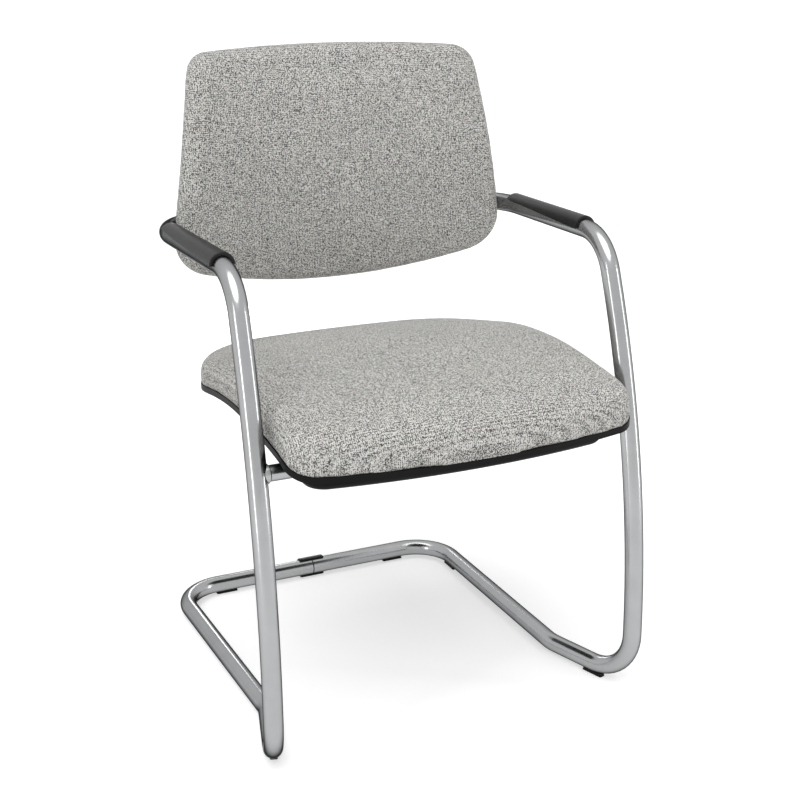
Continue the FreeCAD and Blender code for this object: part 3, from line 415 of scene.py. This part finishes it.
def melange_cloth(name, colour, weave):
    """Mottled wool-look cover: short pale threads over a dark ground, in a fine square weave."""
    finish = Finish(name)
    warp = finish.waves(weave[0], 125, 2.6)
    weft = finish.waves(weave[1], 125, 2.6)
    threads = finish.noise(690, 1.5, 0.5, 0.5)
    knots = finish.math("MULTIPLY", finish.math("MULTIPLY", warp, weft), 0.16)
    speckle = finish.math("ADD", threads, knots)
    melange = finish.ramp(speckle, (
        (0.45, shade(colour, 0.12)),
        (0.50, shade(colour, 0.52)),
        (0.57, shade(colour, 1.14)),
        (0.72, shade(colour, 1.38)),
    ))
    cloudy = finish.ramp(finish.noise(14), ((0.30, (0.94, 0.94, 0.94)), (0.70, (1.0, 1.0, 1.0))))
    finish.link(finish.blend("MULTIPLY", 1.0, melange, cloudy), "Base Color")
    finish.set(specular=0.12, sheen=0.10, sheen_roughness=0.6)
    finish.link(finish.between(threads, 0.86, 0.97), "Roughness")
    finish.bump(speckle, 0.5, 0.0008)
    return finish.material


def silver_tube():
    """Satin silver coat on drawn steel tube, with painted shade: a near-black edge tint darkens it where it
    turns away.
    """
    settings = bpy.context.scene.visitor_chair_finish
    finish = Finish("satin silver tube")
    colour = tuple(settings.tube_colour)
    cloud = finish.noise(24, 3.0, 0.6)
    finish.link(finish.ramp(cloud, ((0.35, shade(colour, 0.93)), (0.65, colour))), "Base Color")
    # painted shade: the near-black edge tint darkens the tube's edges in place of dark reflections
    finish.set(metallic=1.0, edge=(0.05, 0.05, 0.05, 1.0))
    rough = finish.noise(260, 3.0, 0.6)
    middle = settings.tube_roughness
    finish.link(finish.between(rough, middle - 0.04, middle + 0.04), "Roughness")
    finish.bump(finish.noise(700), 0.04, 0.0001)
    return finish.material


def moulded_black(name, colour, roughness, grain, specular):
    """Injection moulded plastic with a fine grain."""
    finish = Finish(name)
    tones = ((0.3, shade(colour, 0.9)), (0.7, shade(colour, 1.1)))
    finish.link(finish.ramp(finish.noise(40), tones), "Base Color")
    finish.set(specular=specular)
    finish.link(finish.between(finish.noise(220), roughness - 0.04, roughness + 0.04), "Roughness")
    finish.bump(finish.noise(grain, 2.0, 0.6), 0.22, 0.0002)
    return finish.material


def powder_coat():
    finish = Finish("black powder coat")
    tones = ((0.3, (0.012, 0.012, 0.012)), (0.7, (0.018, 0.018, 0.019)))
    finish.link(finish.ramp(finish.noise(60), tones), "Base Color")
    finish.set(specular=0.45)
    finish.link(finish.between(finish.noise(300), 0.42, 0.52), "Roughness")
    finish.bump(finish.noise(1100, 2.0, 0.6), 0.35, 0.0002)
    return finish.material


def zinc_steel():
    finish = Finish("zinc plated steel")
    tones = ((0.3, (0.40, 0.40, 0.39)), (0.7, (0.52, 0.52, 0.50)))
    finish.link(finish.ramp(finish.noise(90, 3.0), tones), "Base Color")
    finish.set(metallic=1.0)
    finish.link(finish.between(finish.noise(400), 0.28, 0.42), "Roughness")
    finish.bump(finish.noise(900), 0.04, 0.0001)
    return finish.material


def beech_ply():
    finish = Finish("beech ply")
    grain = finish.noise(60, 3.0, 0.6, 0.4, stretch=(1.0, 0.08, 6.0))
    finish.link(finish.ramp(grain, (
        (0.30, (0.36, 0.24, 0.14)),
        (0.50, (0.52, 0.38, 0.24)),
        (0.70, (0.62, 0.48, 0.32)),
    )), "Base Color")
    finish.set(specular=0.3)
    finish.link(finish.between(grain, 0.5, 0.62), "Roughness")
    finish.bump(grain, 0.15, 0.0004)
    return finish.material


def paint_nodes(material, names):
    for name in names:
        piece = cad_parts[name]
        for slot in piece.material_slots:
            slot.material = material


# Settings that a user would change
class SeatSettings(bpy.types.PropertyGroup):
    side_height: FloatProperty(
        name="Side height",
        description="From the rim's lower edge to the top edge of the cushion, at the front",
        default=0.0492, subtype="DISTANCE", unit="LENGTH")
    fall: FloatProperty(
        name="Fall", description="How much thinner the cushion is at the rear",
        default=0.0048, subtype="DISTANCE", unit="LENGTH")
    corner_fall: FloatProperty(
        name="Corner fall", description="How much lower again the rear corners are",
        default=0.0052, subtype="DISTANCE", unit="LENGTH")
    crown: FloatProperty(
        name="Crown", description="How far the middle of the cushion stands above its edge",
        default=0.0135, subtype="DISTANCE", unit="LENGTH")
    edge_radius: FloatProperty(
        name="Edge radius", description="Rounding of the cushion's top edge",
        default=0.022, subtype="DISTANCE", unit="LENGTH")
    inset: FloatProperty(
        name="Inset", description="How far the cover stands inside the black rim",
        default=0.0009, subtype="DISTANCE", unit="LENGTH")
    colour: FloatVectorProperty(
        name="Cover colour", description="Average colour of the seat cover",
        default=(0.55, 0.543, 0.518), subtype="COLOR", min=0, max=1)


class BackSettings(bpy.types.PropertyGroup):
    edge_radius: FloatProperty(
        name="Edge radius", description="Rounding of the backrest's edges",
        default=0.016, subtype="DISTANCE", unit="LENGTH")
    crown: FloatProperty(
        name="Crown", description="How far the middle of the front stands forward of its edge",
        default=0.0, subtype="DISTANCE", unit="LENGTH")
    colour: FloatVectorProperty(
        name="Cover colour", description="Average colour of the backrest cover",
        default=(0.55, 0.543, 0.518), subtype="COLOR", min=0, max=1)


class SwellSettings(bpy.types.PropertyGroup):
    voxel: FloatProperty(
        name="Skin size", description="Size of the cover's faces before they are divided",
        default=0.005, subtype="DISTANCE", unit="LENGTH")
    pressure: FloatProperty(
        name="Pressure", description="How hard the foam presses on the cover", default=4.0)
    limit: FloatProperty(
        name="Limit", description="The most that a point of the cover may move",
        default=0.0025, subtype="DISTANCE", unit="LENGTH")
    frames: IntProperty(
        name="Frames", description="Steps of the swelling", default=20, min=2)


class FinishSettings(bpy.types.PropertyGroup):
    tube_colour: FloatVectorProperty(
        name="Tube colour", description="Colour of the satin silver tube",
        default=(0.395, 0.40, 0.405), subtype="COLOR", min=0, max=1)
    tube_roughness: FloatProperty(
        name="Tube roughness", description="How soft the reflections in the tube are",
        default=0.21, min=0, max=1)
    plastic_colour: FloatVectorProperty(
        name="Plastic colour", description="Colour of the black plastic parts",
        default=(0.006, 0.006, 0.006), subtype="COLOR", min=0, max=1)


class StageSettings(bpy.types.PropertyGroup):
    floor_size: FloatProperty(
        name="Floor size", description="Width of the floor",
        default=90.0, subtype="DISTANCE", unit="LENGTH")
    floor_colour: FloatVectorProperty(
        name="Floor colour", description="Colour of the pale floor",
        default=(0.76, 0.76, 0.76), subtype="COLOR", min=0, max=1)
    daylight: FloatProperty(
        name="Even light", description="Strength of the light from all round", default=0.40)
    key_strength: FloatProperty(
        name="Key light", description="Strength of the broad soft light from above the front",
        default=2.1)
    key_spread: FloatProperty(
        name="Key spread", description="How wide the key light is, seen from the chair",
        default=1.0, subtype="ANGLE", unit="ROTATION")
    strip_power: FloatProperty(
        name="Strip lights", description="Power of each tall strip that draws a line of light down the tubes",
        default=5.0, subtype="POWER", unit="POWER")


# Pieces
class CHAIR_OT_seat_cushion(bpy.types.Operator):
    """Makes the crowned seat cushion with its melange cover"""
    bl_idname = "visitor_chair.seat_cushion"
    bl_label = "Seat cushion"

    def execute(self, context):
        seat = context.scene.visitor_chair_seat
        skin = context.scene.visitor_chair_swell
        plan = seat_plan()
        inward = inward_normals(plan, True)
        middle = np.array([0.0, (SEAT_FRONT + SEAT_REAR) / 2])
        half_depth = SEAT_REAR - middle[1]

        def rise(points):
            across = np.clip(np.abs(points[:, 0]) / SEAT_HALF_FRONT, 0, 1)
            along = np.clip(np.abs(points[:, 1] - middle[1]) / half_depth, 0, 1)
            rearward = np.clip((points[:, 1] - middle[1]) / half_depth, 0, 1)
            fall = seat.fall * np.clip((points[:, 1] - SEAT_FRONT) / (2 * half_depth), 0, 1)
            return (
                seat.crown * (1 - across ** 2) * (1 - along ** 2)
                - fall - seat.corner_fall * (across * rearward) ** 2
            )

        def ring(points, height):
            return np.column_stack([
                points[:, 0], points[:, 1] + DEPTH_SHIFT, rim_height(points[:, 1]) + height,
            ])

        rings = []
        wall_top = seat.side_height - seat.edge_radius
        low = RIM_STRIP - COVER_TUCK
        for share in (0.3, 0.65, 1.0):
            rings.append(ring(middle + (plan + inward * seat.inset - middle) * share, low))
        for share in np.linspace(0, 1, WALL_RINGS)[1:]:
            bulge = SIDE_BULGE * math.sin(math.pi * share)
            points = plan + inward * (seat.inset - bulge)
            rings.append(ring(points, low + (wall_top - low) * share))
        for angle in np.radians(np.linspace(0, 90, EDGE_RINGS)[1:]):
            points = plan + inward * (seat.inset + seat.edge_radius * (1 - math.cos(angle)))
            height = wall_top + seat.edge_radius * math.sin(angle)
            rings.append(ring(points, height + rise(points) * math.sin(angle)))
        edge = plan + inward * (seat.inset + seat.edge_radius)
        for share in np.linspace(1, 0, FACE_RINGS)[1:-1]:
            points = middle + (edge - middle) * share
            rings.append(ring(points, seat.side_height + rise(points)))
        centre = middle[None]
        top = ring(centre, seat.side_height + rise(centre))
        piece = closed_form("seat_cushion_cover", rings, ring(centre, low), top)
        even_skin(piece, skin.voxel)
        points = vectors(piece.data, "co")
        above = points[:, 2] - rim_height(points[:, 1] - DEPTH_SHIFT) - RIM_STRIP
        swell(piece, np.clip(1 - (above - SEAT_GRIP_EDGE) / SEAT_GRIP_FADE, 0, 1), skin)
        cloth = melange_cloth("seat cover", tuple(seat.colour), ("X", "Y"))
        upholster(piece, cloth, "seat_cushion")
        return {"FINISHED"}


class CHAIR_OT_back_cushion(bpy.types.Operator):
    """Makes the bowed, fully covered backrest cushion"""
    bl_idname = "visitor_chair.back_cushion"
    bl_label = "Backrest cushion"

    def execute(self, context):
        back = context.scene.visitor_chair_back
        skin = context.scene.visitor_chair_swell
        view = back_front_view()
        inward = inward_normals(view, True)
        middle = np.array([0.0, (BACK_TOP + BACK_BOTTOM) / 2])
        half = BACK_THICKNESS / 2
        flat = half - back.edge_radius

        def ring(points, behind):
            depth = back_middle(points[:, 0], points[:, 1]) + behind + DEPTH_SHIFT
            return np.column_stack([points[:, 0], depth, points[:, 1]])

        rings = []
        edge = view + inward * back.edge_radius
        for share in np.linspace(0, 1, FACE_RINGS)[1:-1]:
            rings.append(ring(middle + (edge - middle) * share, half))
        for angle in np.radians(np.linspace(90, 0, EDGE_RINGS)):
            points = view + inward * back.edge_radius * (1 - math.cos(angle))
            rings.append(ring(points, flat + back.edge_radius * math.sin(angle)))
        for angle in np.radians(np.linspace(0, 90, EDGE_RINGS)):
            points = view + inward * back.edge_radius * (1 - math.cos(angle))
            rings.append(ring(points, -flat - back.edge_radius * math.sin(angle)))
        for share in np.linspace(1, 0, FACE_RINGS)[1:-1]:
            points = middle + (edge - middle) * share
            rings.append(ring(points, -half - back.crown * (1 - share ** 2)))
        centre = middle[None]
        piece = closed_form(
            "back_cushion_cover", rings, ring(centre, half), ring(centre, -half - back.crown))
        even_skin(piece, skin.voxel)
        points = vectors(piece.data, "co")
        behind = points[:, 1] - DEPTH_SHIFT - back_middle(points[:, 0], points[:, 2])
        swell(piece, np.clip((behind - BACK_GRIP_EDGE) / BACK_GRIP_FADE, 0, 1), skin)
        cloth = melange_cloth("backrest cover", tuple(back.colour), ("X", "Z"))
        upholster(piece, cloth, "back_cushion")
        return {"FINISHED"}


class CHAIR_OT_tube_finish(bpy.types.Operator):
    """Gives the bent tube frame its satin silver coat"""
    bl_idname = "visitor_chair.tube_finish"
    bl_label = "Tube finish"

    def execute(self, context):
        paint_nodes(silver_tube(), ("frame_left", "frame_right", "seat_cross_tube", "cross_tube_welds"))
        return {"FINISHED"}


class CHAIR_OT_plastic_parts(bpy.types.Operator):
    """Finishes the armrest pads, shells, clips and glides in moulded black"""
    bl_idname = "visitor_chair.plastic_parts"
    bl_label = "Plastic parts"

    def execute(self, context):
        colour = tuple(context.scene.visitor_chair_finish.plastic_colour)
        pads = moulded_black("satin black armrest", shade(colour, 1.2), 0.40, 1300, 0.24)
        shells = moulded_black("grained black shell", colour, 0.50, 900, 0.10)
        feet = moulded_black("black glide", colour, 0.50, 700, 0.12)
        paint_nodes(pads, ("armrest_pad_left", "armrest_pad_right"))
        paint_nodes(shells, (
            "seat_shell", "cross_tube_cover", "back_outer_shell", "back_saddle_left", "back_saddle_right",
            "back_clamp_cap_left", "back_clamp_cap_right", "crossbar_joint_clip", "seat_spacers",
        ))
        paint_nodes(feet, [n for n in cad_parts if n.rsplit("_", 1)[0].endswith("_glide")])
        paint_nodes(feet, ("floor_joint_clip", "rear_member_plugs"))
        return {"FINISHED"}


class CHAIR_OT_inner_parts(bpy.types.Operator):
    """Finishes the seat supports, boards, spigots and fasteners"""
    bl_idname = "visitor_chair.inner_parts"
    bl_label = "Inner parts"

    def execute(self, context):
        coat = powder_coat()
        zinc = zinc_steel()
        paint_nodes(coat, (
            "seat_rail_left", "seat_rail_right", "seat_rear_member",
            "floor_joint_spigot", "crossbar_joint_spigot",
        ))
        paint_nodes(zinc, (
            "seat_bolts", "seat_tnuts", "seat_shell_screws",
            "back_tnuts", "back_shell_screws", "back_clamp_screws",
        ))
        paint_nodes(beech_ply(), ("seat_board", "back_board"))
        return {"FINISHED"}


# Stage
VIEW_AZIMUTH = -25.31        # degrees
VIEW_ELEVATION = 18.48
VIEW_PLACE = (-0.7564, -1.6655, 0.9804)
VIEW_LENS = 63.06
VIEW_SHIFT = (-0.0015, 0.0101)
FLOOR_LEVEL = 1.22           # the open floor is just above white, so that only real shadow shows
KEY_DIRECTION = (-0.35, -0.55, 1.5)
KEY_ON_FLOOR = 0.9           # share of the key light that a level floor takes, since it falls aslant
STRIPS = (("left strip", 205), ("right strip", 325), ("rear strip", 75))   # degrees round the chair
STRIP_DISTANCE = 2.0
STRIP_HEIGHT = 0.62
STRIP_TARGET = (0, 0, 0.4)
STRIP_SIZE = (0.16, 1.2)


def soft_light(name, place, target, size, power):
    lamp = bpy.data.lights.new(name, "AREA")
    lamp.shape = "RECTANGLE"
    lamp.size, lamp.size_y = size
    lamp.energy = power
    light = bpy.data.objects.new(name, lamp)
    light.location = place
    light.rotation_euler = (Vector(target) - Vector(place)).to_track_quat("-Z", "Y").to_euler()
    bpy.context.scene.collection.objects.link(light)


def overhead_light(settings):
    lamp = bpy.data.lights.new("key light", "SUN")
    lamp.energy = settings.key_strength
    lamp.angle = settings.key_spread
    light = bpy.data.objects.new("key light", lamp)
    light.rotation_euler = Vector(KEY_DIRECTION).to_track_quat("Z", "Y").to_euler()
    bpy.context.scene.collection.objects.link(light)


def seen_directly(tree):
    """1 where a camera, glossy or transmission ray looks, and 0 for the light that falls on things."""
    paths = tree.nodes.new("ShaderNodeLightPath")
    total = paths.outputs["Is Camera Ray"]
    for name in ("Is Glossy Ray", "Is Transmission Ray"):
        node = tree.nodes.new("ShaderNodeMath")
        node.operation = "MAXIMUM"
        tree.links.new(total, node.inputs[0])
        tree.links.new(paths.outputs[name], node.inputs[1])
        total = node.outputs["Value"]
    return total


def white_world(settings):
    world = bpy.data.worlds.new("studio")
    world.use_nodes = True
    tree = world.node_tree
    background = tree.nodes["Background"]
    background.inputs["Color"].default_value = (1, 1, 1, 1)
    strength = tree.nodes.new("ShaderNodeMapRange")
    strength.inputs["To Min"].default_value = settings.daylight
    strength.inputs["To Max"].default_value = 1.0
    tree.links.new(seen_directly(tree), strength.inputs["Value"])
    tree.links.new(strength.outputs["Result"], background.inputs["Strength"])
    bpy.context.scene.world = world


def pale_floor(settings):
    half = settings.floor_size / 2
    corners = [(-half, -half, 0), (half, -half, 0), (half, half, 0), (-half, half, 0)]
    mesh = bpy.data.meshes.new("floor")
    mesh.from_pydata(corners, [], [(0, 1, 2, 3)])
    floor = bpy.data.objects.new("floor", mesh)
    bpy.context.scene.collection.objects.link(floor)
    material = bpy.data.materials.new("pale floor")
    material.use_nodes = True
    tree = material.node_tree
    shader = tree.nodes["Principled BSDF"]
    shader.inputs["Base Color"].default_value = (*settings.floor_colour, 1)
    shader.inputs["Roughness"].default_value = 0.9
    shader.inputs["Specular IOR Level"].default_value = 0.0
    glow = tree.nodes.new("ShaderNodeEmission")
    lift = tree.nodes.new("ShaderNodeMath")
    lift.operation = "MULTIPLY"
    light = settings.daylight + KEY_ON_FLOOR * settings.key_strength / math.pi
    lift.inputs[1].default_value = FLOOR_LEVEL - settings.floor_colour[0] * light
    tree.links.new(seen_directly(tree), lift.inputs[0])
    tree.links.new(lift.outputs["Value"], glow.inputs["Strength"])
    both = tree.nodes.new("ShaderNodeAddShader")
    tree.links.new(shader.outputs["BSDF"], both.inputs[0])
    tree.links.new(glow.outputs["Emission"], both.inputs[1])
    tree.links.new(both.outputs["Shader"], tree.nodes["Material Output"].inputs["Surface"])
    mesh.materials.append(material)


class CHAIR_OT_stage(bpy.types.Operator):
    """Makes the pale floor, the soft studio light and the camera"""
    bl_idname = "visitor_chair.stage"
    bl_label = "Stage"

    def execute(self, context):
        scene = context.scene
        settings = scene.visitor_chair_stage
        white_world(settings)
        pale_floor(settings)
        overhead_light(settings)
        for name, angle in STRIPS:
            turn = math.radians(angle)
            place = (STRIP_DISTANCE * math.cos(turn), STRIP_DISTANCE * math.sin(turn), STRIP_HEIGHT)
            soft_light(name, place, STRIP_TARGET, STRIP_SIZE, settings.strip_power)
        scene.view_settings.view_transform = "Standard"
        lens = bpy.data.cameras.new("camera")
        lens.lens = VIEW_LENS
        lens.sensor_width = 36
        lens.shift_x, lens.shift_y = VIEW_SHIFT
        camera = bpy.data.objects.new("camera", lens)
        azimuth = math.radians(VIEW_AZIMUTH)
        elevation = math.radians(VIEW_ELEVATION)
        turn = Matrix.Rotation(azimuth, 4, "Z") @ Matrix.Rotation(math.pi / 2 - elevation, 4, "X")
        camera.matrix_world = Matrix.Translation(VIEW_PLACE) @ turn
        scene.collection.objects.link(camera)
        scene.camera = camera
        return {"FINISHED"}


class CHAIR_PT_pieces(bpy.types.Panel):
    """Lists the chair's pieces and their settings"""
    bl_idname = "CHAIR_PT_pieces"
    bl_label = "Visitor chair"
    bl_space_type = "VIEW_3D"
    bl_region_type = "UI"
    bl_category = "Visitor chair"

    def draw(self, context):
        scene = context.scene
        for name, settings in SETTINGS.items():
            box = self.layout.box()
            for prop in settings.__annotations__:
                box.prop(getattr(scene, name), prop)
        for operator in OPERATORS:
            self.layout.operator(operator.bl_idname)


SETTINGS = {
    "visitor_chair_seat": SeatSettings,
    "visitor_chair_back": BackSettings,
    "visitor_chair_swell": SwellSettings,
    "visitor_chair_finish": FinishSettings,
    "visitor_chair_stage": StageSettings,
}
OPERATORS = (
    CHAIR_OT_seat_cushion,
    CHAIR_OT_back_cushion,
    CHAIR_OT_tube_finish,
    CHAIR_OT_plastic_parts,
    CHAIR_OT_inner_parts,
    CHAIR_OT_stage,
)


def register():
    for name, settings in SETTINGS.items():
        bpy.utils.register_class(settings)
        setattr(bpy.types.Scene, name, PointerProperty(type=settings))
    for item in OPERATORS + (CHAIR_PT_pieces,):
        bpy.utils.register_class(item)


def unregister():
    for item in reversed(OPERATORS + (CHAIR_PT_pieces,)):
        bpy.utils.unregister_class(item)
    for name, settings in reversed(list(SETTINGS.items())):
        delattr(bpy.types.Scene, name)
        bpy.utils.unregister_class(settings)


def main():
    register()
    bpy.ops.visitor_chair.seat_cushion()
    bpy.ops.visitor_chair.back_cushion()
    bpy.ops.visitor_chair.tube_finish()
    bpy.ops.visitor_chair.plastic_parts()
    bpy.ops.visitor_chair.inner_parts()
    bpy.ops.visitor_chair.stage()


if __name__ == "__main__":
    main()
